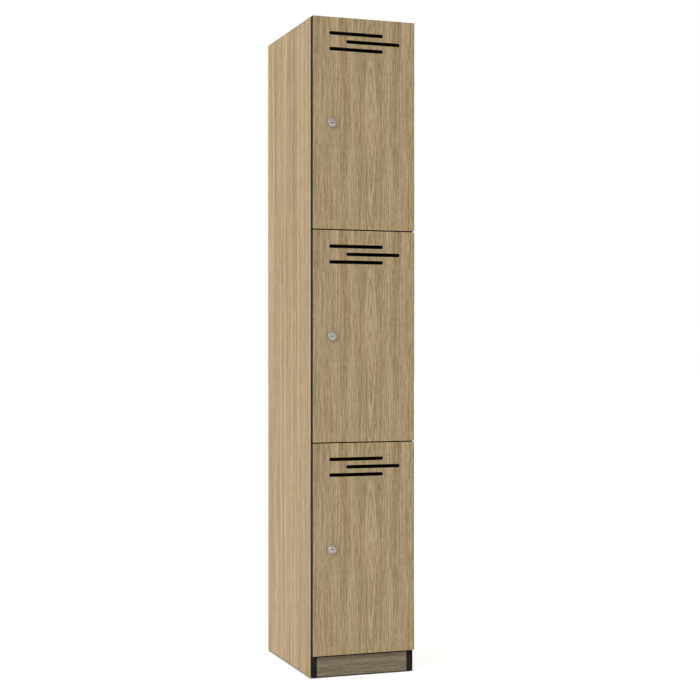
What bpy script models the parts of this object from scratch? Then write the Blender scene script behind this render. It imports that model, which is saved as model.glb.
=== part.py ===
"""Coin operated locker: a narrow carcass with three doors, one above the other.

Metres, +Z up, doors towards -Y. The origin is the middle of the footprint, on the floor.
Each door hangs at its right edge on two single-pivot cup hinges and carries a coin-return lock at its left.
"""

from math import cos, hypot, pi, radians, sin, sqrt, tan

import bmesh
import bpy
from mathutils import Matrix, Vector

# Gaps
FIT = 0.0003  # between pieces that touch
RUNNING = 0.00025  # round a pin, plug or barrel
SLIDING = 0.0004  # round a bolt or tray in its window
OVERCUT = 0.002  # how far a cutter runs past the wall it cuts

# Carcass
WIDTH = 0.305
HEIGHT = 1.850
DEPTH = 0.455  # doors' front to carcass back
BOARD = 0.018
BACK_BOARD = 0.006
DECK_UNDERSIDE = 0.058
PLINTH_RECESS = 0.001
GLIDE_HEIGHT = 0.003
GLIDE_RADIUS = 0.008
GLIDE_INSET = 0.030
BOARD_ROUND = 0.0004

# Doors
TIERS = ("lower", "middle", "upper")
DOOR_BOARD = 0.015
DOOR_FOOT = 0.064
DOOR_REVEAL = 0.001
DOOR_GAP = 0.003
FRONT_GAP = 0.0027
DOOR_ROUND = 0.0005

# Vent slots, from the door's left and top edges
SLOT_LENGTH = 0.160
SLOT_HEIGHT = 0.010
SLOT_PITCH = 0.022
SLOT_FROM_TOP = 0.045
SLOT_FROM_LEFT = 0.0475
SLOT_SHIFT = 0.0505  # the middle slot's offset to the right
SLOT_ROWS = 3

# Cup hinges
HINGE_FROM_END = 0.110
OPEN_ANGLE = radians(95)
SWING_CLEARANCE = 0.0003  # door's rear corner to the carcass edge as it passes
CUP_RADIUS = 0.0175
CUP_DEPTH = 0.0115
CUP_FLOOR = 0.0007
CUP_EDGE = 0.003  # door's edge to the cup
CUP_FLANGE = 0.0012
WING_LENGTH = 0.060
WING_WIDTH = 0.012
WING_OFFSET = 0.0055
PIN_RADIUS = 0.001
PIN_GRIP = 0.003  # pin held in each wall of the cup
KNUCKLE_RADIUS = 0.0019
KNUCKLE_LENGTH = 0.0094
NECK_THICKNESS = 0.0024
NECK_BEND = 0.003
PLATE_THICKNESS = 0.0045
PLATE_WIDTH = 0.015
PLATE_FRONT = 0.014  # carcass edge to the plate
PLATE_LENGTH = 0.044
PLATE_WING_LENGTH = 0.052
PLATE_WING_WIDTH = 0.011
PLATE_BOSS = 0.006
PLATE_ROUND = 0.003
PLATE_WING_THICKNESS = 0.0022
ARM_FRONT = 0.008  # carcass edge to the channel
ARM_LENGTH = 0.046
ARM_NOSE = 0.008  # solid front of the channel
ARM_WIDTH = 0.014
ARM_WALL = 0.0014

# Key cylinder
LOCK_INSET = 0.056
LOCK_PROUD = 0.004
ROSETTE_RADIUS = 0.0123
ROSETTE_CHAMFER = 0.001
BARREL_RADIUS = 0.0107
BARREL_PAST_DOOR = 0.001
PLUG_RADIUS = 0.0087
PLUG_SUNK = 0.0006
PLUG_PAST_DOOR = 0.0085
KEYWAY_WIDTH = 0.008
KEYWAY_HEIGHT = 0.0028
KEYWAY_DEPTH = 0.006
CRANK_REACH = 0.007
CRANK_RADIUS = 0.0015
CRANK_START = radians(45)  # off the upright at rest, and again past it when turned

# Coin lock
CASE_INSET = 0.029
CASE_WIDTH = 0.062
CASE_HEIGHT = 0.092
CASE_DEPTH = 0.0235
CASE_WALL = 0.0018
CASE_ROUND = 0.0012
COIN_SLOT_HEIGHT = 0.027
COIN_SLOT_WIDTH = 0.0032
COIN_SLOT_TOP = 0.007
BOLT_DEPTH = 0.010  # door's inner face to the bolt
BOLT_THICKNESS = 0.0035
BOLT_TOP = 0.007
BOLT_FOOT = 0.013
BOLT_TAIL = 0.012
TURN_SLACK = 0.00045  # crank to its slot, which takes up the crank's arc
LEVER_THICKNESS = 0.002
LEVER_BEHIND_BOLT = 0.0025
LEVER_RISE = 0.019
LEVER_SHIFT = 0.014
LEVER_ARM = 0.020
LEVER_WIDTH = 0.006
LEVER_BOSS_RADIUS = 0.002
LEVER_EYE_RAISED = 0.0003
TRAY_WIDTH = 0.033
TRAY_HEIGHT = 0.018
TRAY_LIP = 0.010
TRAY_PROUD = 0.0075
TRAY_FROM_DOOR = 0.008
TRAY_FROM_FOOT = 0.004
TRAY_WALL = 0.0015

# Strike bracket
STRIKE_HEIGHT = 0.044
STRIKE_LENGTH = 0.022
STRIKE_THICKNESS = 0.0015
STRIKE_LIP = 0.008
LIP_THICKNESS = 0.002
LIP_BEFORE_BOLT = 0.0008

# Places worked out from the sizes
SIDE_OUTER = WIDTH / 2
SIDE_INNER = SIDE_OUTER - BOARD
DOOR_FRONT = (LOCK_PROUD - DEPTH) / 2
DOOR_INNER = DOOR_FRONT + DOOR_BOARD
CARCASS_FRONT = DOOR_INNER + FRONT_GAP
CARCASS_BACK = (LOCK_PROUD + DEPTH) / 2
DOOR_WIDTH = WIDTH - 2 * DOOR_REVEAL
DOOR_HEIGHT = (HEIGHT - DOOR_FOOT - (len(TIERS) - 1) * DOOR_GAP) / len(TIERS)
PIN_DEPTH = CUP_DEPTH - CUP_FLOOR - FIT - KNUCKLE_RADIUS
PIN_INSET = sqrt((FRONT_GAP + PIN_DEPTH - SWING_CLEARANCE) ** 2 - PIN_DEPTH**2)
AXIS_X = SIDE_OUTER - DOOR_REVEAL - PIN_INSET
AXIS_Y = DOOR_INNER - PIN_DEPTH
DOOR_LEFT = PIN_INSET - DOOR_WIDTH  # from here on, x and y from the hinge axis
FACE_Y = PIN_DEPTH - DOOR_BOARD
INNER_Y = PIN_DEPTH
LOCK_X = DOOR_LEFT + LOCK_INSET
CASE_LEFT = CASE_INSET - LOCK_INSET  # from here on, x from the lock's axis
CASE_RIGHT = CASE_LEFT + CASE_WIDTH
CASE_REAR = INNER_Y + CASE_DEPTH
BOLT_Y = INNER_Y + BOLT_DEPTH
LEVER_Y = BOLT_Y + BOLT_THICKNESS + LEVER_BEHIND_BOLT
CRANK_SIDE = CRANK_REACH * cos(CRANK_START)

EMPTY_SIZE = 0.02
SAME_POINT = 1e-7
SHARP_ANGLE = radians(30)
QUARTER_TURN = radians(90)
SEGMENTS = 32
SMALL_SEGMENTS = 16
ARC_STEPS = 8

OAK = (0.42, 0.33, 0.20)
OAK_SHADE = (0.38, 0.30, 0.18)
WHITE_BOARD = (0.62, 0.60, 0.56)
STEEL = (0.55, 0.55, 0.56)
DARK_PLASTIC = (0.03, 0.03, 0.03)
GREY_PLASTIC = (0.22, 0.22, 0.23)


# Modelling helpers


def clear_scene():
    for obj in list(bpy.data.objects):
        bpy.data.objects.remove(obj, do_unlink=True)


def material(name, colour, roughness, metallic=0.0):
    made = bpy.data.materials.new(name)
    made.use_nodes = True
    shader = made.node_tree.nodes["Principled BSDF"]
    shader.inputs["Base Color"].default_value = (*colour, 1.0)
    shader.inputs["Roughness"].default_value = roughness
    shader.inputs["Metallic"].default_value = metallic
    return made


def empty(name, location, parent=None):
    """A guide on a joint's axis, which carries the pieces that turn about it."""
    made = bpy.data.objects.new(name, None)
    made.empty_display_size = EMPTY_SIZE
    made.location = location
    made.parent = parent
    bpy.context.collection.objects.link(made)
    return made


def place(name, bm, parent=None):
    """The object of a finished bmesh, in its parent's frame."""
    bmesh.ops.recalc_face_normals(bm, faces=bm.faces)
    mesh = bpy.data.meshes.new(name)
    bm.to_mesh(mesh)
    bm.free()
    made = bpy.data.objects.new(name, mesh)
    made.parent = parent
    bpy.context.collection.objects.link(made)
    return made


def finish(name, bm, look, parent=None):
    """A named piece with its material, round faces smooth."""
    made = place(name, bm, parent)
    made.data.materials.append(material(name, *look))
    made.data.shade_smooth()
    made.data.set_sharp_from_angle(angle=SHARP_ANGLE)
    return made


def boolean(obj, bm, operation, role):
    """Cuts or joins the bmesh, given in the frame of the object's parent."""
    tool = place(obj.name + "_" + role, bm, obj.parent)
    tool.hide_render = True
    tool.display_type = "WIRE"
    modifier = obj.modifiers.new(role, "BOOLEAN")
    modifier.operation = operation
    modifier.solver = "EXACT"
    modifier.object = tool


def cut(obj, bm, role="cutter"):
    boolean(obj, bm, "DIFFERENCE", role)


def join(obj, bm, role="joined"):
    boolean(obj, bm, "UNION", role)


def round_edges(obj, width, segments=1):
    modifier = obj.modifiers.new("round_edges", "BEVEL")
    modifier.width = width
    modifier.segments = segments
    modifier.limit_method = "ANGLE"
    modifier.use_clamp_overlap = True


def add_box(bm, low, high):
    low, high = Vector(low), Vector(high)
    corners = bmesh.ops.create_cube(bm, size=1.0)["verts"]
    for corner in corners:
        corner.co = Vector(a + (b - a) * (c + 0.5) for a, b, c in zip(low, high, corner.co))


def box(low, high):
    bm = bmesh.new()
    add_box(bm, low, high)
    return bm


def add_cylinder(bm, start, end, radius, segments=SEGMENTS):
    """A closed cylinder between two points."""
    start, end = Vector(start), Vector(end)
    along = end - start
    turn = along.to_track_quat("Z", "Y").to_matrix().to_4x4()
    bmesh.ops.create_cone(
        bm,
        cap_ends=True,
        segments=segments,
        radius1=radius,
        radius2=radius,
        depth=along.length,
        matrix=Matrix.Translation((start + end) / 2) @ turn,
    )


def cylinder(start, end, radius, segments=SEGMENTS):
    bm = bmesh.new()
    add_cylinder(bm, start, end, radius, segments)
    return bm


def add_prism(bm, outline, thickness):
    """A closed outline of 3-D points, made solid along the vector thickness."""
    face = bm.faces.new([bm.verts.new(point) for point in outline])
    top = bmesh.ops.extrude_face_region(bm, geom=[face])["geom"]
    moved = [item for item in top if isinstance(item, bmesh.types.BMVert)]
    bmesh.ops.translate(bm, verts=moved, vec=thickness)


def prism(outline, thickness):
    bm = bmesh.new()
    add_prism(bm, outline, thickness)
    return bm


def arc(centre, radius, first, last, steps=ARC_STEPS):
    """Points of a plane arc, angles in degrees."""
    turns = [radians(first + (last - first) * step / steps) for step in range(steps + 1)]
    return [(centre[0] + radius * cos(turn), centre[1] + radius * sin(turn)) for turn in turns]


def slot_outline(low, high, radius):
    """A rectangle from low to high with corners of the given radius."""
    corners = (
        ((high[0] - radius, low[1] + radius), -90),
        ((high[0] - radius, high[1] - radius), 0),
        ((low[0] + radius, high[1] - radius), 90),
        ((low[0] + radius, low[1] + radius), 180),
    )
    points = [point for centre, start in corners for point in arc(centre, radius, start, start + 90)]
    kept = points[:1]
    for point in points[1:]:
        if hypot(point[0] - kept[-1][0], point[1] - kept[-1][1]) > SAME_POINT:
            kept.append(point)
    if hypot(kept[0][0] - kept[-1][0], kept[0][1] - kept[-1][1]) <= SAME_POINT:
        kept.pop()
    return kept


def turned(profile, segments=SEGMENTS):
    """A ring turned about the Y axis from (radius, y) points."""
    bm = bmesh.new()
    verts = [bm.verts.new((radius, y, 0)) for radius, y in profile]
    edges = [bm.edges.new((a, b)) for a, b in zip(verts, verts[1:] + verts[:1])]
    bmesh.ops.spin(
        bm,
        geom=verts + edges,
        cent=(0, 0, 0),
        axis=(0, 1, 0),
        angle=2 * pi,
        steps=segments,
        use_merge=True,
    )
    bmesh.ops.remove_doubles(bm, verts=bm.verts, dist=SAME_POINT)
    return bm


# Carcass


def shelf_height(gap):
    """Middle of the gap above door number gap, where a shelf sits."""
    return DOOR_FOOT + (gap + 1) * (DOOR_HEIGHT + DOOR_GAP) - DOOR_GAP / 2


def board(name, low, high, colour, roughness=0.55):
    made = finish(name, box(low, high), (colour, roughness))
    round_edges(made, BOARD_ROUND)


def make_carcass():
    inner = SIDE_INNER - FIT
    back_front = CARCASS_BACK - BACK_BOARD
    for name, side in (("left_side_panel", -1), ("right_side_panel", 1)):
        near, far = sorted((side * SIDE_INNER, side * SIDE_OUTER))
        board(name, (near, CARCASS_FRONT, GLIDE_HEIGHT), (far, CARCASS_BACK, HEIGHT), OAK)
    board(
        "top_panel",
        (-inner, CARCASS_FRONT, HEIGHT - BOARD),
        (inner, CARCASS_BACK, HEIGHT),
        OAK_SHADE,
    )
    board(
        "bottom_panel",
        (-inner, CARCASS_FRONT, DECK_UNDERSIDE),
        (inner, CARCASS_BACK, DECK_UNDERSIDE + BOARD),
        OAK_SHADE,
    )
    for gap, tier in enumerate(TIERS[:-1]):
        middle = shelf_height(gap)
        board(
            "shelf_above_" + tier,
            (-inner, CARCASS_FRONT, middle - BOARD / 2),
            (inner, back_front - FIT, middle + BOARD / 2),
            OAK_SHADE,
        )
    board(
        "back_panel",
        (-inner, back_front, DECK_UNDERSIDE + BOARD + FIT),
        (inner, CARCASS_BACK, HEIGHT - BOARD - FIT),
        WHITE_BOARD,
    )
    plinth_front = CARCASS_FRONT + PLINTH_RECESS
    board(
        "plinth_board",
        (-inner, plinth_front, GLIDE_HEIGHT),
        (inner, plinth_front + BOARD, DECK_UNDERSIDE - FIT),
        OAK_SHADE,
    )


def make_glides():
    middle = SIDE_OUTER - BOARD / 2
    rows = (("front", CARCASS_FRONT + GLIDE_INSET), ("rear", CARCASS_BACK - GLIDE_INSET))
    for side_name, x in (("left", -middle), ("right", middle)):
        for row_name, y in rows:
            bm = cylinder((x, y, 0), (x, y, GLIDE_HEIGHT - FIT), GLIDE_RADIUS)
            finish("glide_" + row_name + "_" + side_name, bm, (DARK_PLASTIC, 0.5))


# Hinges


def hinge_height(end):
    return end * (DOOR_HEIGHT / 2 - HINGE_FROM_END)


def make_cup(name, axis, z):
    """The cast cup let into the door, with its flange, wings and the pocket for the arm."""
    centre_x = PIN_INSET - CUP_EDGE - CUP_RADIUS
    flange_y = INNER_Y + FIT + CUP_FLANGE
    bottom_y = INNER_Y - CUP_DEPTH
    cup = finish(
        name,
        cylinder((centre_x, bottom_y, z), (centre_x, flange_y, z), CUP_RADIUS),
        (STEEL, 0.35, 1.0),
        axis,
    )
    wing_x = centre_x - WING_OFFSET
    wing = [
        (x, flange_y, z + rise)
        for x, rise in slot_outline(
            (wing_x - WING_WIDTH / 2, -WING_LENGTH / 2),
            (wing_x + WING_WIDTH / 2, WING_LENGTH / 2),
            WING_WIDTH / 2,
        )
    ]
    join(cup, prism(wing, (0, -CUP_FLANGE, 0)), "wings")
    over_turn = OPEN_ANGLE - QUARTER_TURN
    neck_reach = PIN_DEPTH * tan(over_turn) + NECK_THICKNESS / 2 / cos(over_turn)
    pocket_right = max(neck_reach, KNUCKLE_RADIUS) + FIT
    pocket_left = neck_run() + NECK_BEND + NECK_THICKNESS / 2 + SLIDING
    half = KNUCKLE_LENGTH / 2 + FIT
    pocket = box(
        (-pocket_left, bottom_y + CUP_FLOOR, z - half), (pocket_right, flange_y + OVERCUT, z + half)
    )
    cut(cup, pocket, "pocket")
    grip = half + PIN_GRIP
    bore = cylinder((0, 0, z - grip), (0, 0, z + grip), PIN_RADIUS + RUNNING, SMALL_SEGMENTS)
    cut(cup, bore, "pin_bore")


def make_pin(name, axis, z):
    grip = KNUCKLE_LENGTH / 2 + PIN_GRIP
    bm = cylinder((0, 0, z - grip), (0, 0, z + grip), PIN_RADIUS, SMALL_SEGMENTS)
    finish(name, bm, (STEEL, 0.3, 1.0), axis)


def arm_face():
    """x of the arm's face towards the side panel, from the hinge axis."""
    return SIDE_INNER - FIT - PLATE_THICKNESS - 2 * FIT - AXIS_X


def neck_run():
    """Length of the straight part of the neck that leaves the pin."""
    return -arm_face() + NECK_THICKNESS / 2 - NECK_BEND


def neck_outline(front, back):
    """The bent strip in plan: from the pin past the side's front edge, then back along the side."""
    half = NECK_THICKNESS / 2
    run = neck_run()
    centre = (-run, NECK_BEND)
    outer = [(0, -half)] + arc(centre, NECK_BEND + half, -90, -180)
    inner = arc(centre, NECK_BEND - half, -180, -90) + [(0, half)]
    end_x = -run - NECK_BEND
    tail = [(end_x - half, back), (end_x + half, back)]
    return [(x, y, front) for x, y in outer + tail + inner]


def make_arm(name, guide):
    """The arm: knuckle, bent neck and a channel over the plate's boss. Its frame is the hinge axis."""
    half = KNUCKLE_LENGTH / 2
    edge = CARCASS_FRONT - AXIS_Y
    nose = edge + ARM_FRONT
    outline = neck_outline(-half, nose + ARM_NOSE / 2)
    arm = finish(name, prism(outline, (0, 0, KNUCKLE_LENGTH)), (STEEL, 0.35, 1.0), guide)
    join(arm, cylinder((0, 0, -half), (0, 0, half), KNUCKLE_RADIUS, SMALL_SEGMENTS), "knuckle")
    top = arm_face() - PLATE_BOSS - ARM_WALL
    channel = box((top, nose, -ARM_WIDTH / 2), (arm_face(), nose + ARM_LENGTH, ARM_WIDTH / 2))
    join(arm, channel, "channel")
    inside = box(
        (top + ARM_WALL, nose + ARM_NOSE, ARM_WALL - ARM_WIDTH / 2),
        (arm_face() + OVERCUT, nose + ARM_LENGTH + OVERCUT, ARM_WIDTH / 2 - ARM_WALL),
    )
    cut(arm, inside, "channel_inside")
    bore = cylinder(
        (0, 0, -half - OVERCUT), (0, 0, half + OVERCUT), PIN_RADIUS + RUNNING, SMALL_SEGMENTS
    )
    cut(arm, bore, "pin_bore")


def make_plate(name, guide):
    """The mounting plate on the side panel, with its wings and the boss that the arm sits over."""
    seat = SIDE_INNER - FIT - AXIS_X
    edge = CARCASS_FRONT - AXIS_Y
    low_y = edge + PLATE_FRONT
    body = slot_outline(
        (low_y, -PLATE_WIDTH / 2), (low_y + PLATE_LENGTH, PLATE_WIDTH / 2), PLATE_ROUND
    )
    plate = finish(
        name,
        prism([(seat, y, z) for y, z in body], (-PLATE_THICKNESS, 0, 0)),
        (STEEL, 0.35, 1.0),
        guide,
    )
    middle = low_y + PLATE_LENGTH / 2
    wing = slot_outline(
        (middle - PLATE_WING_WIDTH / 2, -PLATE_WING_LENGTH / 2),
        (middle + PLATE_WING_WIDTH / 2, PLATE_WING_LENGTH / 2),
        PLATE_WING_WIDTH / 2,
    )
    flat_wing = prism([(seat, y, z) for y, z in wing], (-PLATE_WING_THICKNESS, 0, 0))
    join(plate, flat_wing, "wings")
    boss_front = edge + ARM_FRONT + ARM_NOSE + FIT
    boss_half = ARM_WIDTH / 2 - ARM_WALL - SLIDING
    boss = box(
        (seat - PLATE_THICKNESS - PLATE_BOSS, boss_front, -boss_half),
        (seat - PLATE_THICKNESS / 2, low_y + PLATE_LENGTH - PLATE_WIDTH / 2, boss_half),
    )
    join(plate, boss, "boss")


def make_hinges(tier, axis, door_middle):
    for end_name, end in (("low", -1), ("high", 1)):
        z = hinge_height(end)
        tag = tier + "_" + end_name
        make_cup("hinge_cup_" + tag, axis, z)
        make_pin("hinge_pin_" + tag, axis, z)
        guide = empty("hinge_guide_" + tag, (AXIS_X, AXIS_Y, door_middle + z))
        make_arm("hinge_arm_" + tag, guide)
        make_plate("hinge_plate_" + tag, guide)


# Doors


def add_vent_slots(bm):
    top = DOOR_HEIGHT / 2 - SLOT_FROM_TOP
    for row in range(SLOT_ROWS):
        left = DOOR_LEFT + SLOT_FROM_LEFT + (SLOT_SHIFT if row % 2 else 0)
        middle = top - row * SLOT_PITCH
        outline = slot_outline(
            (left, middle - SLOT_HEIGHT / 2),
            (left + SLOT_LENGTH, middle + SLOT_HEIGHT / 2),
            SLOT_HEIGHT / 2,
        )
        start = FACE_Y - OVERCUT
        points = [(x, start, z) for x, z in outline]
        add_prism(bm, points, (0, DOOR_BOARD + 2 * OVERCUT, 0))


def make_door(tier, axis):
    half = DOOR_HEIGHT / 2
    door = finish(
        "door_" + tier,
        box((DOOR_LEFT, FACE_Y, -half), (PIN_INSET, INNER_Y, half)),
        (OAK, 0.5),
        axis,
    )
    round_edges(door, DOOR_ROUND, 2)
    holes = bmesh.new()
    add_vent_slots(holes)
    start, end = FACE_Y - OVERCUT, INNER_Y + OVERCUT
    add_cylinder(holes, (LOCK_X, start, 0), (LOCK_X, end, 0), BARREL_RADIUS + RUNNING)
    cup_x = PIN_INSET - CUP_EDGE - CUP_RADIUS
    for end_sign in (-1, 1):
        z = hinge_height(end_sign)
        floor = INNER_Y - CUP_DEPTH - FIT
        add_cylinder(holes, (cup_x, floor, z), (cup_x, end, z), CUP_RADIUS + FIT)
    cut(door, holes, "holes")


# Locks


def make_cylinder(tier, lock):
    """The housing with its rosette, and the plug that the key turns."""
    bore = PLUG_RADIUS + RUNNING
    front = FACE_Y - LOCK_PROUD
    end = INNER_Y + BARREL_PAST_DOOR
    profile = [
        (bore, front + ROSETTE_CHAMFER / 2),
        (bore + ROSETTE_CHAMFER, front),
        (ROSETTE_RADIUS - ROSETTE_CHAMFER, front),
        (ROSETTE_RADIUS, front + ROSETTE_CHAMFER),
        (ROSETTE_RADIUS, FACE_Y - FIT),
        (BARREL_RADIUS, FACE_Y - FIT),
        (BARREL_RADIUS, end),
        (bore, end),
    ]
    finish("lock_housing_" + tier, turned(profile), (STEEL, 0.3, 1.0), lock)
    plug_front = front + PLUG_SUNK
    rear = INNER_Y + PLUG_PAST_DOOR
    plug = finish(
        "key_plug_" + tier,
        cylinder((0, plug_front, 0), (0, rear, 0), PLUG_RADIUS),
        (STEEL, 0.3, 1.0),
        lock,
    )
    crank_end = BOLT_Y + BOLT_THICKNESS + FIT
    crank = cylinder(
        (CRANK_SIDE, rear - OVERCUT, -CRANK_SIDE),
        (CRANK_SIDE, crank_end, -CRANK_SIDE),
        CRANK_RADIUS,
        SMALL_SEGMENTS,
    )
    join(plug, crank, "crank")
    keyway = box(
        (-KEYWAY_WIDTH / 2, plug_front - OVERCUT, -KEYWAY_HEIGHT / 2),
        (KEYWAY_WIDTH / 2, plug_front + KEYWAY_DEPTH, KEYWAY_HEIGHT / 2),
    )
    cut(plug, keyway, "keyway")


def make_bolt(tier, lock):
    """A flat bolt, drawn back at rest, with the upright slot that the crank drives."""
    bolt = finish(
        "lock_bolt_" + tier,
        box(
            (CASE_LEFT, BOLT_Y, -BOLT_FOOT), (BOLT_TAIL, BOLT_Y + BOLT_THICKNESS, BOLT_TOP)
        ),
        (STEEL, 0.35, 1.0),
        lock,
    )
    half = CRANK_RADIUS + TURN_SLACK
    outline = slot_outline(
        (CRANK_SIDE - half, -CRANK_REACH - half), (CRANK_SIDE + half, half - CRANK_SIDE), half
    )
    points = [(x, BOLT_Y - OVERCUT, z) for x, z in outline]
    cut(bolt, prism(points, (0, BOLT_THICKNESS + 2 * OVERCUT, 0)), "crank_slot")


def tray_middle():
    return (CASE_LEFT + CASE_RIGHT) / 2


def tray_foot():
    return TRAY_FROM_FOOT - CASE_HEIGHT / 2


def make_case(tier, lock):
    """The case behind the door: open towards it, with windows for the bolt, the coin and the tray."""
    half = CASE_HEIGHT / 2
    front = INNER_Y + FIT
    case = finish(
        "lock_case_" + tier,
        box((CASE_LEFT, front, -half), (CASE_RIGHT, CASE_REAR, half)),
        (GREY_PLASTIC, 0.45),
        lock,
    )
    round_edges(case, CASE_ROUND, 2)
    inside = box(
        (CASE_LEFT + CASE_WALL, front - OVERCUT, CASE_WALL - half),
        (CASE_RIGHT - CASE_WALL, CASE_REAR - CASE_WALL, half - CASE_WALL),
    )
    cut(case, inside, "inside")
    windows = bmesh.new()
    add_box(
        windows,
        (CASE_LEFT - OVERCUT, BOLT_Y - SLIDING, -BOLT_FOOT - SLIDING),
        (CASE_LEFT + 2 * CASE_WALL, BOLT_Y + BOLT_THICKNESS + SLIDING, BOLT_TOP + SLIDING),
    )
    middle = tray_middle()
    coin_top = half - COIN_SLOT_TOP
    rear = CASE_REAR - CASE_WALL - OVERCUT
    past = CASE_REAR + OVERCUT
    add_box(
        windows,
        (middle - COIN_SLOT_WIDTH / 2, rear, coin_top - COIN_SLOT_HEIGHT),
        (middle + COIN_SLOT_WIDTH / 2, past, coin_top),
    )
    tray_half = TRAY_WIDTH / 2 + SLIDING
    foot = tray_foot()
    add_box(
        windows,
        (middle - tray_half, rear, foot - SLIDING),
        (middle + tray_half, past, foot + TRAY_HEIGHT + SLIDING),
    )
    cut(case, windows, "windows")
    boss = cylinder(
        (LEVER_SHIFT, LEVER_Y - FIT, LEVER_RISE),
        (LEVER_SHIFT, CASE_REAR - CASE_WALL / 2, LEVER_RISE),
        LEVER_BOSS_RADIUS,
        SMALL_SEGMENTS,
    )
    join(case, boss, "lever_boss")


def make_tray(tier, lock):
    """The scoop that the returned coin drops into: open at the top, with a low rear lip."""
    middle, foot = tray_middle(), tray_foot()
    half = TRAY_WIDTH / 2
    front = INNER_Y + TRAY_FROM_DOOR
    rear = CASE_REAR + TRAY_PROUD
    tray = finish(
        "coin_tray_" + tier,
        box((middle - half, front, foot), (middle + half, rear, foot + TRAY_HEIGHT)),
        (DARK_PLASTIC, 0.4),
        lock,
    )
    hollow = bmesh.new()
    add_box(
        hollow,
        (middle - half + TRAY_WALL, front + TRAY_WALL, foot + TRAY_WALL),
        (middle + half - TRAY_WALL, rear - TRAY_WALL, foot + TRAY_HEIGHT + OVERCUT),
    )
    cut(tray, hollow, "hollow")
    lip = box(
        (middle - half - OVERCUT, CASE_REAR + FIT, foot + TRAY_LIP),
        (middle + half + OVERCUT, rear + OVERCUT, foot + TRAY_HEIGHT + OVERCUT),
    )
    cut(tray, lip, "lip")


def make_lever(tier, pivot):
    """The coin lever: two arms at a right angle about a raised eye, in the frame of its pivot."""
    half = LEVER_WIDTH / 2
    hole = LEVER_BOSS_RADIUS + FIT
    eye = hole + LEVER_THICKNESS
    angle = [
        (-LEVER_ARM, half),
        (-LEVER_ARM, -half),
        (-half, -half),
        (-half, -LEVER_ARM),
        (half, -LEVER_ARM),
        (half, half),
    ]
    arms = prism([(x, LEVER_EYE_RAISED, z) for x, z in angle], (0, LEVER_THICKNESS, 0))
    lever = finish("coin_lever_" + tier, arms, (STEEL, 0.35, 1.0), pivot)
    top = LEVER_THICKNESS + 2 * LEVER_EYE_RAISED
    join(lever, cylinder((0, 0, 0), (0, top, 0), eye, SMALL_SEGMENTS), "eye")
    bore = cylinder((0, -OVERCUT, 0), (0, top + OVERCUT, 0), hole, SMALL_SEGMENTS)
    cut(lever, bore, "bore")


def make_strike(tier, door_middle):
    """The angle bracket on the left side panel whose lip stands in front of the thrown bolt."""
    face = FIT - SIDE_INNER
    lip_rear = AXIS_Y + BOLT_Y - LIP_BEFORE_BOLT
    lip_front = lip_rear - LIP_THICKNESS
    low = door_middle - STRIKE_HEIGHT / 2
    high = door_middle + STRIKE_HEIGHT / 2
    outline = [
        (face, lip_front),
        (face + STRIKE_LIP, lip_front),
        (face + STRIKE_LIP, lip_rear),
        (face + STRIKE_THICKNESS, lip_rear),
        (face + STRIKE_THICKNESS, lip_front + STRIKE_LENGTH),
        (face, lip_front + STRIKE_LENGTH),
    ]
    points = [(x, y, low) for x, y in outline]
    strike = prism(points, (0, 0, high - low))
    finish("strike_" + tier, strike, (STEEL, 0.35, 1.0))


def make_lock(tier, axis, door_middle):
    lock = empty("lock_axis_" + tier, (LOCK_X, 0, 0), axis)
    make_cylinder(tier, lock)
    make_bolt(tier, lock)
    make_case(tier, lock)
    make_tray(tier, lock)
    pivot = empty("lever_axis_" + tier, (LEVER_SHIFT, LEVER_Y, LEVER_RISE), lock)
    make_lever(tier, pivot)
    make_strike(tier, door_middle)


def make_tier(number, tier):
    middle = DOOR_FOOT + number * (DOOR_HEIGHT + DOOR_GAP) + DOOR_HEIGHT / 2
    axis = empty("door_axis_" + tier, (AXIS_X, AXIS_Y, middle))
    make_door(tier, axis)
    make_hinges(tier, axis, middle)
    make_lock(tier, axis, middle)


clear_scene()
make_carcass()
make_glides()
for number, tier in enumerate(TIERS):
    make_tier(number, tier)
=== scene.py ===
"""Finishes, fittings, light and camera of the coin operated locker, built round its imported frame."""

from math import cos, pi, radians, sin

import bmesh
import bpy
from mathutils import Matrix, Vector


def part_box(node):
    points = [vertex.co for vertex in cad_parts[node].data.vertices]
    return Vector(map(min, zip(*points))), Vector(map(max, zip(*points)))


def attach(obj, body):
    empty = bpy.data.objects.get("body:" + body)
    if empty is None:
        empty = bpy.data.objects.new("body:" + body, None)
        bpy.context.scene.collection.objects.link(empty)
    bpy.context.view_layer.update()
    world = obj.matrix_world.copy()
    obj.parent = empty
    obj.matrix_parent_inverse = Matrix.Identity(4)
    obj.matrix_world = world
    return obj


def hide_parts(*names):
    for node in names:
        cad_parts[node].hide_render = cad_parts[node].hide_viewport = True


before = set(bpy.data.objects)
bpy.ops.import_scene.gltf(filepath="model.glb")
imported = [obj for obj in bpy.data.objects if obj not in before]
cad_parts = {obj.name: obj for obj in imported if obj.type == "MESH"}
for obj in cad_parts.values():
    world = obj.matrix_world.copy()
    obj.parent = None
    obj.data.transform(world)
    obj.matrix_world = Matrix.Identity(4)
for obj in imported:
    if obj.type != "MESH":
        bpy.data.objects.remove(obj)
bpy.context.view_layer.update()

TIERS = ("lower", "middle", "upper")
ENDS = ("low", "high")


# Shader maths


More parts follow.
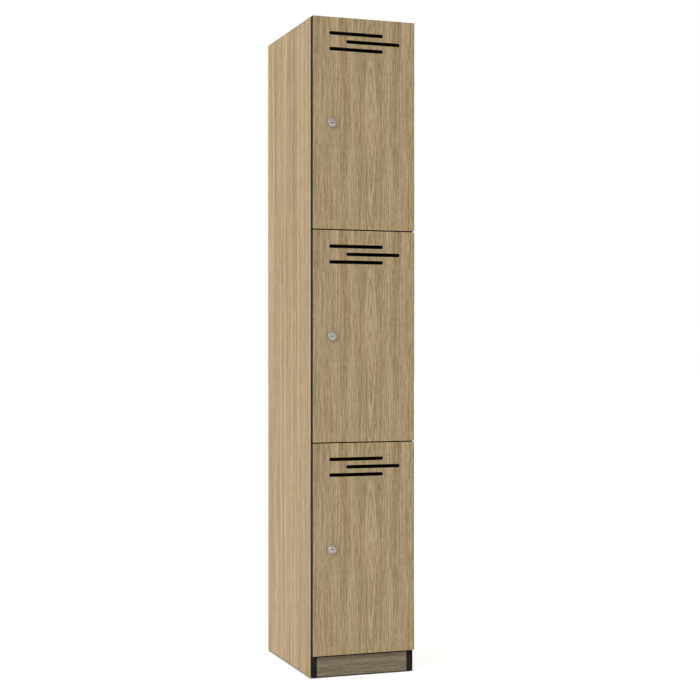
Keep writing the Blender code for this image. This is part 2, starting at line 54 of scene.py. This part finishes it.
class Signal:
    """A socket of a finish. Arithmetic on it adds Math nodes."""

    def __init__(self, finish, socket):
        self.finish, self.socket = finish, socket

    def math(self, operation, *values):
        inputs = dict(enumerate(values))
        return self.finish.add("ShaderNodeMath", inputs, operation=operation)

    def __add__(self, other):
        return self.math("ADD", self, other)

    __radd__ = __add__

    def __sub__(self, other):
        return self.math("SUBTRACT", self, other)

    def __rsub__(self, other):
        return self.math("SUBTRACT", other, self)

    def __mul__(self, other):
        return self.math("MULTIPLY", self, other)

    __rmul__ = __mul__

    def __abs__(self):
        return self.math("ABSOLUTE", self)

    def __gt__(self, other):
        return self.math("GREATER_THAN", self, other)

    def root(self):
        return self.math("SQRT", self)

    def least(self, other):
        return self.math("MINIMUM", self, other)

    def most(self, other):
        return self.math("MAXIMUM", self, other)


class Graph:
    """The nodes of a material or a world."""

    def __init__(self, tree):
        self.tree = tree

    def add(self, kind, inputs=(), output=0, stops=None, **settings):
        """A node of that kind with its settings and inputs, as the Signal of one output."""
        node = self.tree.nodes.new(kind)
        for name, value in settings.items():
            setattr(node, name, value)
        if stops:
            elements = node.color_ramp.elements
            while len(elements) < len(stops):
                elements.new(1.0)
            for element, (place, colour) in zip(elements, stops):
                element.position, element.color = place, (*colour, 1.0)
        for key, value in dict(inputs).items():
            self.feed(node.inputs[key], value)
        return Signal(self, node.outputs[output])

    def feed(self, socket, value):
        if isinstance(value, Signal):
            self.tree.links.new(value.socket, socket)
        else:
            socket.default_value = value

    def axes(self, output="Object"):
        coordinates = self.add("ShaderNodeTexCoord", output=output)
        node = self.add("ShaderNodeSeparateXYZ", {0: coordinates}).socket.node
        return [Signal(self, node.outputs[index]) for index in range(3)]

    def noise(self, x=0.0, y=0.0, z=0.0, detail=2.0, roughness=0.5):
        vector = self.add("ShaderNodeCombineXYZ", {0: x, 1: y, 2: z})
        inputs = {"Vector": vector, "Scale": 1.0, "Detail": detail, "Roughness": roughness}
        return self.add("ShaderNodeTexNoise", inputs)

    def ramp(self, factor, *stops):
        return self.add("ShaderNodeValToRGB", {0: factor}, stops=stops)

    def blend(self, factor, first, second, blend_type="MIX"):
        """first where factor is 0, second where it is 1."""
        inputs = {0: factor, 6: first, 7: second}
        settings = {"data_type": "RGBA", "blend_type": blend_type}
        return self.add("ShaderNodeMix", inputs, output=2, **settings)

    def bump(self, height, distance, strength=1.0):
        inputs = {"Height": height, "Distance": distance, "Strength": strength}
        return self.add("ShaderNodeBump", inputs)


class Finish(Graph):
    """A material that is built from its Principled shader outwards."""

    def __init__(self, name):
        self.material = bpy.data.materials.new(name)
        self.material.use_nodes = True
        super().__init__(self.material.node_tree)
        self.shader = self.tree.nodes["Principled BSDF"]

    def set(self, **inputs):
        """Principled inputs by name, with _ for a space."""
        for name, value in inputs.items():
            self.feed(self.shader.inputs[name.replace("_", " ")], value)


def shaded(colour, amount):
    return tuple(min(1.0, amount * part) for part in colour)


def tinted(colour, painted_light_tint):
    return tuple(part * by for part, by in zip(colour, painted_light_tint))


# Finishes

BLACK = (0.0100, 0.0085, 0.0070)
BLACK_WORN = (0.022, 0.019, 0.016)
OAK_DARK = (0.255, 0.185, 0.098)
OAK_MIDDLE = (0.420, 0.318, 0.184)
OAK_LIGHT = (0.585, 0.462, 0.288)
HUES = (1.014, 0.975, 0.920), (0.981, 0.997, 0.955)
SIDE_HUES = (1.03, 0.965, 1.03), (0.967, 1.007, 0.845)
PLAIN_TINT = (1.0, 1.0, 1.0)
# Painted light: the side panels' oak is a darker, yellower copy of the doors' oak, matched to how the
# key light falls on that face.
SIDE_PAINTED_LIGHT_TINT = (0.949, 0.914, 0.830)
# Painted shade: the plinth's oak is darkened and cooled to stand in for the shadow under the doors'
# overhang.
PLINTH_PAINTED_SHADE_TINT = (0.60, 0.635, 0.763)
CROWN_WIDTH = 0.024
CROWN_LENGTH = 0.48
CROWN_SHIFT = 0.018  # middle of the ovals, right of the door's middle
CROWN_DROP = 0.035  # and below it
STRAY_ACROSS = 0.018  # how far the grain strays from straight
STRAY_ALONG = 0.10
GRAIN_START = 7.31  # keeps every noise off its faint zero along the grain
PORE_LEVEL = 0.64
FLAT_FACE = 0.9  # how square to its axis a laminated face is

# Noises of the grain: scale across it, scale along it, step of the seed, detail.
WANDER = (8, 2.4, 0, 2)
STRIPES = (45, 0.7, 17, 1)
LINES = (500, 4.0, 5, 2)
STREAKS = (750, 24, 9, 2)
DASHES = (1900, 80, 13, 1)
PORES = (2300, 60, 27, 1)
HUE = (40, 1.8, 33, 1)


def oak(name, centre, axes, seed, crown=False, bands=0.95, painted_light_tint=PLAIN_TINT, hues=HUES):
    """Oak laminate on the faces square to one axis, black banding on the others.

    axes number the axis across the grain, the one along it and the one out of the face.
    crown bends the grain into nested long ovals, and bands weighs the broad stripes.
    """
    finish = Finish(name)
    place = finish.axes()
    across, along = (place[axis] - centre[axis] for axis in axes[:2])
    run = along + GRAIN_START

    def grain(side, kind):
        side_scale, run_scale, step, detail = kind
        return finish.noise(side * side_scale, run * run_scale, seed + step, detail=detail)

    wander = grain(across, WANDER) - 0.5
    bent = across + wander * STRAY_ACROSS
    figure = bent
    if crown:
        wide = bent - CROWN_SHIFT
        tall = (along + wander * STRAY_ALONG + CROWN_DROP) * (CROWN_WIDTH / CROWN_LENGTH)
        figure = (wide * wide + tall * tall).root()
    stripes = grain(figure, STRIPES) - 0.5
    lines = grain(figure, LINES) - 0.5
    streaks = grain(bent, STREAKS) - 0.5
    dashes = grain(across, DASHES) - 0.5
    pores = grain(across, PORES) > PORE_LEVEL
    tone = stripes * bands + lines * 2.2 + streaks * 2.0 + dashes * 1.4
    # The tint scales the wood's colours: painted shade on the plinth, painted light on the side
    # panels, none on the other boards.
    wood = finish.ramp(
        tone + 0.497 - pores * 0.20,
        (0.0, tinted(OAK_DARK, painted_light_tint)),
        (0.5, tinted(OAK_MIDDLE, painted_light_tint)),
        (1.0, tinted(OAK_LIGHT, painted_light_tint)),
    )
    hue = finish.ramp(grain(across, HUE), (0.35, hues[0]), (0.65, hues[1]))
    wood = finish.blend(1.0, wood, hue, "MULTIPLY")
    scuffs = finish.noise(place[0] * 90, place[1] * 90, place[2] * 90, detail=4, roughness=0.7)
    band = finish.ramp(scuffs, (0.45, BLACK), (0.75, BLACK_WORN))
    face = abs(finish.axes("Normal")[axes[2]]) > FLAT_FACE
    polish = dashes * 0.3 + pores * 0.12 + scuffs * 0.12
    finish.set(
        Base_Color=finish.blend(face, band, wood),
        Roughness=polish + 0.80 - face * 0.32,
        Specular_IOR_Level=0.2,
        Normal=finish.bump(streaks + dashes * 0.6 - pores * 0.5, 0.00012, 0.6),
    )
    return finish


def metal(name, colour, roughness):
    """Plated metal with clouding, fine grit and drawn lines along X."""
    finish = Finish(name)
    x, y, z = finish.axes()
    clouds = finish.noise(x * 70, y * 70, z * 70, detail=3)
    grit = finish.noise(x * 2600, y * 2600, z * 2600, detail=1)
    drawn = finish.noise(x * 60, y * 2200, z * 2200)
    tone = clouds * 0.6 + drawn * 0.4
    finish.set(
        Base_Color=finish.ramp(tone, (0.32, shaded(colour, 0.80)), (0.68, shaded(colour, 1.12))),
        Metallic=1.0,
        Roughness=clouds * 0.25 + drawn * 0.2 + (roughness - 0.22),
        Normal=finish.bump(grit * 0.5 + drawn, 0.00002, 0.5),
    )
    return finish


def moulded(name, colour, roughness):
    """Moulded plastic or rubber with a fine textured skin and faint flow clouds."""
    finish = Finish(name)
    x, y, z = finish.axes()
    clouds = finish.noise(x * 40, y * 40, z * 40, detail=3)
    skin = finish.noise(x * 3200, y * 3200, z * 3200)
    tone = clouds * 0.7 + skin * 0.3
    finish.set(
        Base_Color=finish.ramp(tone, (0.3, shaded(colour, 0.8)), (0.7, shaded(colour, 1.2))),
        Roughness=clouds * 0.2 + skin * 0.15 + (roughness - 0.17),
        Normal=finish.bump(skin, 0.00003, 0.7),
    )
    return finish


def fibreboard(name, colour):
    """Pale faced fibreboard, with the fleck of its fibres."""
    finish = Finish(name)
    x, y, z = finish.axes()
    fleck = finish.noise(x * 700, y * 700, z * 260, detail=3, roughness=0.7)
    clouds = finish.noise(x * 12, y * 12, z * 9, detail=3)
    tone = fleck * 0.85 + clouds * 0.15
    finish.set(
        Base_Color=finish.ramp(tone, (0.30, shaded(colour, 0.85)), (0.70, shaded(colour, 1.10))),
        Roughness=fleck * 0.2 + 0.52,
        Normal=finish.bump(fleck, 0.00006, 0.5),
    )
    return finish


def middle_of(node):
    low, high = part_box(node)
    return (low + high) / 2


def dress(finish, *nodes):
    """Gives CAD nodes their finish."""
    for node in nodes:
        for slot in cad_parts[node].material_slots:
            slot.material = finish.material


NICKEL = metal("satin_nickel", (0.42, 0.39, 0.365), 0.34)
ZINC = metal("zinc_plate", (0.56, 0.56, 0.57), 0.36)
# Painted shade: the wafers' brass is darkened far below real brass, so the keyway reads dark.
WAFER_BRASS_SHADED = metal("wafer_brass_painted_shade", (0.16, 0.11, 0.06), 0.50)
GREY_PLASTIC = moulded("grey_plastic", (0.055, 0.056, 0.060), 0.52)
BLACK_PLASTIC = moulded("black_plastic", (0.018, 0.018, 0.018), 0.42)
RUBBER = moulded("rubber", (0.030, 0.029, 0.028), 0.75)
BACKING = fibreboard("backing_board", (0.50, 0.485, 0.45))

SIDE_AXES, DOOR_AXES, PLINTH_AXES, SHELF_AXES = (1, 2, 0), (0, 2, 1), (2, 0, 1), (1, 0, 2)


def dress_boards():
    for node, seed in (("left_side_panel", 3.0), ("right_side_panel", 63.0)):
        # Painted light: the side panels get a darker, yellower copy of the oak for the key light on
        # their face.
        look = {"bands": 1.4, "painted_light_tint": SIDE_PAINTED_LIGHT_TINT, "hues": SIDE_HUES}
        wood = oak(node + "_oak", middle_of(node), SIDE_AXES, seed, **look)
        dress(wood, node)
    for tier in TIERS:
        node = "door_" + tier
        dress(oak(node + "_oak", middle_of(node), DOOR_AXES, 120.0, crown=True), node)
    node = "plinth_board"
    # Painted shade: the plinth's oak is darkened and cooled for the shadow under the doors.
    dress(oak("plinth_oak", middle_of(node), PLINTH_AXES, 180.0, painted_light_tint=PLINTH_PAINTED_SHADE_TINT), node)
    shelves = ("top_panel", "bottom_panel", "shelf_above_lower", "shelf_above_middle")
    for count, node in enumerate(shelves):
        dress(oak(node + "_oak", middle_of(node), SHELF_AXES, 240.0 + 40 * count), node)
    dress(BACKING, "back_panel")


# Modelling

SHARP_ANGLE = radians(32)


def as_mesh(bm, name="scratch"):
    mesh = bpy.data.meshes.new(name)
    bm.to_mesh(mesh)
    bm.free()
    return mesh


def link(name, data):
    made = bpy.data.objects.new(name, data)
    bpy.context.scene.collection.objects.link(made)
    return made


def piece(name, bm, finish, body, replaces=()):
    """A piece that rides on a body, and may stand for CAD nodes."""
    mesh = as_mesh(bm, name)
    mesh.materials.append(finish.material)
    mesh.shade_smooth()
    mesh.set_sharp_from_angle(angle=SHARP_ANGLE)
    made = link(name, mesh)
    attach(made, body)
    if replaces:
        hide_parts(*replaces)


def stand(bm, spot, facing=(0, 1, 0), roll=0.0):
    """Turns a shape that faces +Y to face that way, and moves it to its spot."""
    turn = Vector((0, 1, 0)).rotation_difference(Vector(facing)).to_matrix().to_4x4()
    roll = Matrix.Rotation(roll, 4, "Y")
    bmesh.ops.transform(bm, matrix=Matrix.Translation(spot) @ turn @ roll, verts=bm.verts)
    return bm


def spun(profile, steps=96):
    """A shape turned about the Y axis from (radius, y) points.

    A profile that starts and ends on the axis makes a solid, any other a ring.
    """
    bm = bmesh.new()
    verts = [bm.verts.new((radius, y, 0)) for radius, y in profile]
    edges = [bm.edges.new(pair) for pair in zip(verts, verts[1:])]
    if profile[0][0] > 0:
        edges.append(bm.edges.new((verts[-1], verts[0])))
    turn = {"cent": (0, 0, 0), "axis": (0, 1, 0), "angle": 2 * pi}
    bmesh.ops.spin(bm, geom=verts + edges, steps=steps, use_merge=True, **turn)
    bmesh.ops.remove_doubles(bm, verts=bm.verts, dist=1e-6)
    bmesh.ops.recalc_face_normals(bm, faces=bm.faces)
    return bm


def curve(centre, radius, first, last, steps=5):
    """Points of an arc in a profile, angles in degrees."""
    turns = [radians(first + (last - first) * step / steps) for step in range(steps + 1)]
    return [(centre[0] + radius * cos(turn), centre[1] + radius * sin(turn)) for turn in turns]


def block(low, high, bevel=0.0):
    bm = bmesh.new()
    bmesh.ops.create_cube(bm, size=1.0)
    low, high = Vector(low), Vector(high)
    bmesh.ops.scale(bm, verts=bm.verts, vec=high - low)
    bmesh.ops.translate(bm, verts=bm.verts, vec=(low + high) / 2)
    if bevel:
        soften(bm, bm.edges[:], bevel)
    return bm


def soften(bm, edges, width, segments=2):
    settings = {"affect": "EDGES", "segments": segments, "profile": 0.5, "material": -1}
    bmesh.ops.bevel(bm, geom=edges, offset=width, offset_type="OFFSET", **settings)


def combine(bm, tool, operation="DIFFERENCE"):
    """Cuts one closed shape from another, or joins them."""
    first, second = (link("scratch", as_mesh(part)) for part in (bm, tool))
    modifier = first.modifiers.new("combine", "BOOLEAN")
    modifier.operation, modifier.solver, modifier.object = operation, "EXACT", second
    made = bmesh.new()
    made.from_object(first, bpy.context.evaluated_depsgraph_get())
    for used in (first, second):
        bpy.data.meshes.remove(used.data)
    return made


def gather(shapes):
    """Separate closed shapes as one."""
    bm = bmesh.new()
    for shape in shapes:
        mesh = as_mesh(shape)
        bm.from_mesh(mesh)
        bpy.data.meshes.remove(mesh)
    return bm


# Screws


def screw_head(radius):
    """A pan head with a cross recess, facing +Y from its seat at y = 0."""
    rim = [(part[0], part[1] * 1.5) for part in curve((radius * 0.7, 0), radius * 0.3, 0, 90)]
    bm = spun([(0, 0)] + rim + [(0, radius * 0.5)], 28)
    floor, top, half, arm = radius * 0.2, radius, radius * 0.11, radius * 0.5
    bm = combine(bm, block((-arm, floor, -half), (arm, top, half)))
    bm = combine(bm, block((-half, floor, -arm), (half, top, arm)))
    return as_mesh(bm, "screw_head")


def screws(name, head, spots, facing, body):
    """Screw heads at their spots, all facing one way, as one piece."""
    heads = []
    for count, spot in enumerate(spots):
        one = bmesh.new()
        one.from_mesh(head)
        heads.append(stand(one, spot, facing, 0.7 * count + 0.2))
    piece(name, gather(heads), ZINC, body)


LARGE_HEAD, SMALL_HEAD = screw_head(0.0036), screw_head(0.0028)


# Hinges

CUP_RADIUS = 0.0175
CUP_SCREW_REACH = 0.0055  # from the cup's edge
CUP_SCREW_RISE = 0.024
PLATE_WING = 0.0022
PLATE_SCREW_DEPTH = 0.022
PLATE_SCREW_RISE = 0.0195
ARM_SCREW_DEPTHS = (0.009, 0.030)


def fit_hinge_screws(tag, tier):
    low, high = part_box("hinge_cup_" + tag)
    x, middle = high.x - CUP_RADIUS - CUP_SCREW_REACH, (low.z + high.z) / 2
    spots = [(x, high.y, middle + rise) for rise in (-CUP_SCREW_RISE, CUP_SCREW_RISE)]
    screws("cup_screws_" + tag, SMALL_HEAD, spots, (0, 1, 0), tier + "_door")
    low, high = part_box("hinge_plate_" + tag)
    x, y = high.x - PLATE_WING, low.y + PLATE_SCREW_DEPTH
    spots = [(x, y, middle + rise) for rise in (-PLATE_SCREW_RISE, PLATE_SCREW_RISE)]
    screws("plate_screws_" + tag, LARGE_HEAD, spots, (-1, 0, 0), "carcass")
    low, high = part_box("hinge_arm_" + tag)
    spots = [(low.x, high.y - depth, middle) for depth in ARM_SCREW_DEPTHS]
    screws("arm_screws_" + tag, SMALL_HEAD, spots, (-1, 0, 0), "carcass")


# Locks, with shapes placed from the middle of the lock's face

ROSETTE_RADIUS = 0.0123
ROSETTE_BACK = 0.0037
ROSETTE_ROUNDING = 0.0011
GROOVE = [(0.0097, 0.0), (0.0099, 0.00025), (0.0101, 0.00025), (0.0103, 0.0)]
BARREL_RADIUS = 0.0107
BORE_RADIUS = 0.00895
ROUNDING = 0.0004
INDEX_TURN = pi / 4
INDEX_NOTCH = (-0.0011, -0.001, 0.0095), (0.0011, 0.0014, 0.0130)
# A black block set into the index notch, which makes the notch read dark.
INDEX_NOTCH_FILL = (-0.0009, 0.0002, 0.0097), (0.0009, 0.0013, 0.0120)
PLUG_RADIUS = 0.0087
PLUG_LENGTH = 0.0231
KEYWAY = (-0.004, -0.002, -0.0014), (0.004, 0.006, 0.0014)
CUT_ROUNDING = 0.0003  # of the notch and the keyway
CRANK = 0.007
CRANK_TURN = pi / 4
PIN_RADIUS = 0.0015
PIN_START = 0.021
WAFERS = (0.0036, 0.0021), (0.0042, 0.0030), (0.0048, 0.0021), (0.0054, 0.0030)  # depth, end
WAFER_START = -0.0037
WAFER_THICKNESS = 0.0004
WAFER_HALF_HEIGHT = 0.00125


def lock_axis(tier):
    """The middle of the lock's face, and the lock's length."""
    low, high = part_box("lock_housing_" + tier)
    return Vector(((low.x + high.x) / 2, low.y, (low.z + high.z) / 2)), high.y - low.y


def fit_housing(tier):
    """The rosette with its turned groove and index notch, and the barrel behind it."""
    spot, length = lock_axis(tier)
    profile = [(BORE_RADIUS, length), (BORE_RADIUS, 0.0005)]
    profile += curve((BORE_RADIUS + ROUNDING, ROUNDING), ROUNDING, 180, 270, 3)
    profile += GROOVE
    corner = (ROSETTE_RADIUS - ROSETTE_ROUNDING, ROSETTE_ROUNDING)
    profile += curve(corner, ROSETTE_ROUNDING, 270, 360)
    profile += [(ROSETTE_RADIUS, ROSETTE_BACK), (BARREL_RADIUS, ROSETTE_BACK)]
    profile += [(BARREL_RADIUS, length)]
    notch = stand(block(*INDEX_NOTCH, CUT_ROUNDING), (0, 0, 0), roll=INDEX_TURN)
    bm = stand(combine(spun(profile), notch), spot)
    body, node = tier + "_door", "lock_housing_" + tier
    piece("rosette_" + tier, bm, NICKEL, body, [node])
    # A black block in the index notch makes the notch read dark.
    mark = stand(block(*INDEX_NOTCH_FILL), spot, roll=INDEX_TURN)
    piece("index_notch_fill_" + tier, mark, BLACK_PLASTIC, body)


def fit_plug(tier):
    """The plug with its keyway and crank pin, and the wafers deep in the keyway."""
    spot, _ = lock_axis(tier)
    low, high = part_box("key_plug_" + tier)
    place = (spot.x, low.y, spot.z)
    body, node = tier + "_plug", "key_plug_" + tier
    rim = curve((PLUG_RADIUS - ROUNDING, ROUNDING), ROUNDING, 270, 360, 3)
    bm = spun([(0, 0)] + rim + [(PLUG_RADIUS, PLUG_LENGTH), (0, PLUG_LENGTH)])
    bm = combine(bm, block(*KEYWAY, CUT_ROUNDING))
    length = high.y - low.y - PIN_START
    pin = spun([(0, 0), (PIN_RADIUS, 0), (PIN_RADIUS, length), (0, length)], 32)
    reach = CRANK * cos(CRANK_TURN)
    bm = combine(bm, stand(pin, (reach, PIN_START, -reach)), "UNION")
    piece("plug_" + tier, stand(bm, place), NICKEL, body, [node])
    wafers = []
    for depth, end in WAFERS:
        front = (WAFER_START, depth, -WAFER_HALF_HEIGHT)
        wafers.append(block(front, (end, depth + WAFER_THICKNESS, WAFER_HALF_HEIGHT)))
    # The wafers' darkened brass paints the shade deep in the keyway.
    piece("wafers_" + tier, stand(gather(wafers), place), WAFER_BRASS_SHADED, body)


# Lock cases and strikes

CASE_SCREW_IN = 0.006
CASE_SCREW_UP = 0.007
SLOT_DROP = 0.007  # from the case's top to the coin slot's
BEZEL = (-0.007, 0.0, -0.031), (0.007, 0.0008, 0.004)
BEZEL_CORNER = 0.004
BEZEL_HOLE = (-0.0019, -0.001, -0.0275), (0.0019, 0.002, 0.0005)
BEZEL_FRONT = 0.0006
STRIKE_PLATE = 0.0015
STRIKE_SCREW_IN = 0.008
STRIKE_SCREW_RISE = 0.014


def on_bezel_rim(edge):
    """Whether an edge is a sharp one of the bezel's outer face."""
    sharp = edge.is_manifold and edge.calc_face_angle() > 1
    return sharp and all(vert.co.y > BEZEL_FRONT for vert in edge.verts)


def fit_case(tier):
    """Corner screws and the steel bezel round the coin slot."""
    low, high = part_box("lock_case_" + tier)
    columns = (low.x + CASE_SCREW_IN, high.x - CASE_SCREW_IN)
    rows = (low.z + CASE_SCREW_UP, high.z - CASE_SCREW_UP)
    spots = [(x, high.y, z) for x in columns for z in rows]
    screws("case_screws_" + tier, SMALL_HEAD, spots, (0, 1, 0), tier + "_door")
    bezel = block(*BEZEL)
    corners = [edge for edge in bezel.edges if edge.calc_length() < BEZEL_CORNER]
    soften(bezel, corners, BEZEL_CORNER, segments=6)
    bezel = combine(bezel, block(*BEZEL_HOLE))
    soften(bezel, [edge for edge in bezel.edges if on_bezel_rim(edge)], 0.0002)
    stand(bezel, ((low.x + high.x) / 2, high.y, high.z - SLOT_DROP))
    piece("coin_bezel_" + tier, bezel, ZINC, tier + "_door")


def fit_strike(tier):
    low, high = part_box("strike_" + tier)
    x, y, middle = low.x + STRIKE_PLATE, high.y - STRIKE_SCREW_IN, (low.z + high.z) / 2
    spots = [(x, y, middle + rise) for rise in (-STRIKE_SCREW_RISE, STRIKE_SCREW_RISE)]
    screws("strike_screws_" + tier, SMALL_HEAD, spots, (1, 0, 0), "carcass")


# Bumpers and glides

BUMPER_IN = 0.009
BUMPER_UP = 0.014
BUMPER = [(0, 0), (0.004, 0)] + curve((0.0030, 0.0012), 0.001, 0, 90) + [(0, 0.0023)]
FOOT = [(0, 0), (0.0068, 0)] + curve((0.0068, 0.0012), 0.0012, 270, 360)
FOOT_RADIUS = 0.008
FOOT_CHAMFER = 0.0003


def fit_bumpers(tier):
    """Rubber domes on the door's inner face that meet the side panel's front edge."""
    low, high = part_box("door_" + tier)
    for end, z in zip(ENDS, (low.z + BUMPER_UP, high.z - BUMPER_UP)):
        bm = stand(spun(BUMPER, 32), (low.x + BUMPER_IN, high.y, z))
        piece("bumper_" + tier + "_" + end, bm, RUBBER, tier + "_door")


def fit_glides():
    """Glides with a rounded foot, and a chamfer under the panel."""
    for node in sorted(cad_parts):
        if node.startswith("glide_"):
            low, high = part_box(node)
            middle, top = (low + high) / 2, high.z
            chamfer = [(FOOT_RADIUS, top - FOOT_CHAMFER), (FOOT_RADIUS - FOOT_CHAMFER, top)]
            bm = stand(spun(FOOT + chamfer + [(0, top)], 48), (middle.x, middle.y, 0), (0, 0, 1))
            name = node.replace("glide", "foot")
            piece(name, bm, BLACK_PLASTIC, "carcass", [node])


def fit_tier(tier):
    for end in ENDS:
        tag = tier + "_" + end
        parts = ("hinge_cup_", "hinge_pin_", "hinge_arm_", "hinge_plate_")
        dress(ZINC, *(part + tag for part in parts))
        fit_hinge_screws(tag, tier)
    dress(ZINC, "lock_bolt_" + tier, "coin_lever_" + tier, "strike_" + tier)
    dress(GREY_PLASTIC, "lock_case_" + tier)
    dress(BLACK_PLASTIC, "coin_tray_" + tier)
    fit_housing(tier)
    fit_plug(tier)
    fit_case(tier)
    fit_strike(tier)
    fit_bumpers(tier)


# Studio

WHITE = (1.0, 1.0, 1.0, 1.0)
FLOOR_COLOUR = (0.80, 0.80, 0.80, 1.0)
FLOOR_SIZE = 40.0
FLOOR_GLOW = 0.62
# Painted shadow: the glow stops short of the locker's foot, leaving a thin dark contact line.
GLOW_EDGE = 0.001  # from the locker's foot to where the glow starts
GLOW_FADE = 0.007
AMBIENT = 0.58
SUN_STRENGTH = 1.8
SUN_TOWARDS = (-0.751, -0.327, 0.574)  # from the locker towards the light
SUN_ANGLE = radians(40)
CAMERA_PLACE = (-1.43398, -4.31524, 0.91184)
CAMERA_TURN = (radians(90), 0, radians(-19.8632))
CAMERA_LENS = 79.124
CAMERA_SENSOR = 36.0
CAMERA_SHIFT = (-0.0411, 0.0033)


def seen_directly(graph):
    """1 for rays from the camera, off glossy faces and through clear ones, 0 for diffuse light."""
    kinds = ("Is Camera Ray", "Is Glossy Ray", "Is Transmission Ray")
    camera, glossy, through = (graph.add("ShaderNodeLightPath", output=kind) for kind in kinds)
    return camera.most(glossy).most(through)


def light_studio():
    world = bpy.data.worlds.new("studio")
    bpy.context.scene.world = world
    world.use_nodes = True
    sky = Graph(world.node_tree)
    background = sky.tree.nodes["Background"]
    background.inputs["Color"].default_value = WHITE
    sky.feed(background.inputs["Strength"], seen_directly(sky) * (1 - AMBIENT) + AMBIENT)
    sun = link("sun", bpy.data.lights.new("sun", "SUN"))
    sun.data.energy = SUN_STRENGTH
    sun.data.angle = SUN_ANGLE
    sun.rotation_mode = "QUATERNION"
    sun.rotation_quaternion = Vector(SUN_TOWARDS).to_track_quat("Z", "Y")


def lay_floor():
    """A pale floor that glows a little where it is seen. The glow is cut off under the locker and in a
    thin band round its foot, so the rendered shade there shows as a painted dark contact line.
    """
    low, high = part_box("left_side_panel")[0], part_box("right_side_panel")[1]
    middle, half = (low + high) / 2, (high - low) / 2
    floor = Finish("floor")
    x, y, _ = floor.axes()
    clouds = floor.noise(x * 1.5, y * 1.5)
    # Painted shadow: no glow under the locker or for a few millimetres round its foot, so the rendered
    # shade there shows as a dark line.
    outside = (abs(x - middle.x) - half.x).most(abs(y - middle.y) - half.y)
    glow = ((outside - GLOW_EDGE) * (1 / GLOW_FADE)).most(0.0).least(1.0)
    floor.set(
        Base_Color=FLOOR_COLOUR,
        Roughness=clouds * 0.1 + 0.9,
        Specular_IOR_Level=0.0,
        Emission_Color=seen_directly(floor) * glow,
        Emission_Strength=FLOOR_GLOW,
    )
    bm = bmesh.new()
    bmesh.ops.create_grid(bm, x_segments=1, y_segments=1, size=FLOOR_SIZE)
    mesh = as_mesh(bm, "floor")
    mesh.materials.append(floor.material)
    link("floor", mesh)


def place_camera():
    camera = link("camera", bpy.data.cameras.new("camera"))
    camera.location = CAMERA_PLACE
    camera.rotation_euler = CAMERA_TURN
    camera.data.sensor_width = CAMERA_SENSOR
    camera.data.lens = CAMERA_LENS
    camera.data.shift_x, camera.data.shift_y = CAMERA_SHIFT
    bpy.context.scene.camera = camera


dress_boards()
fit_glides()
for tier in TIERS:
    fit_tier(tier)
light_studio()
lay_floor()
place_camera()
bpy.context.scene.view_settings.view_transform = "Standard"
